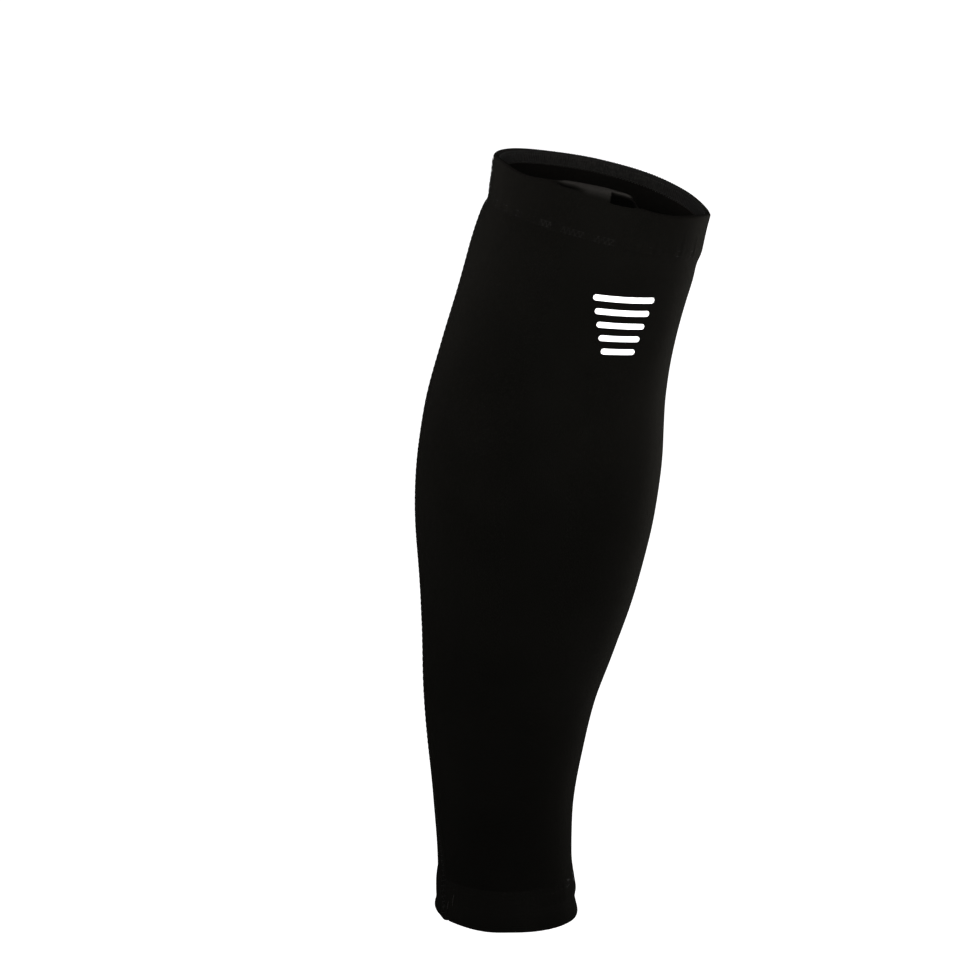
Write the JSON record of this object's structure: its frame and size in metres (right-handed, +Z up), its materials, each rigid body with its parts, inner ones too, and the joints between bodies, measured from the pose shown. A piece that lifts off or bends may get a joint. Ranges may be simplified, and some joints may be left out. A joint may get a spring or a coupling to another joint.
{
  "type": "calf compression sleeve",
  "caption": "Knitted calf compression sleeve in its worn form: an open tube from knee to ankle with doubled hems, a side seam and a printed bar mark.",
  "frame": {"origin": "middle of the leg at the fullest part of the calf, which is where the sleeve sits on a leg", "axes": "+Z up the leg towards the knee, -Y to the shin, +Y to the calf muscle, +X to the side the knee leans to"},
  "size_m": [0.1312, 0.1189, 0.3552],
  "materials": {
    "knit": "matte black jersey knit with a faint warm sheen",
    "thread": "black polyester sewing thread, slightly shiny",
    "band": "charcoal elastic knit, dull",
    "print": "white heat-pressed print film, satin"
  },
  "bodies": {
    "root": {"calf_tube": "knit", "side_seam": "thread", "knee_hem": "knit", "ankle_hem": "knit", "inner_band": "band", "print_bar_1": "print", "print_bar_2": "print", "print_bar_3": "print", "print_bar_4": "print", "print_bar_5": "print"}
  },
  "joints": []
}
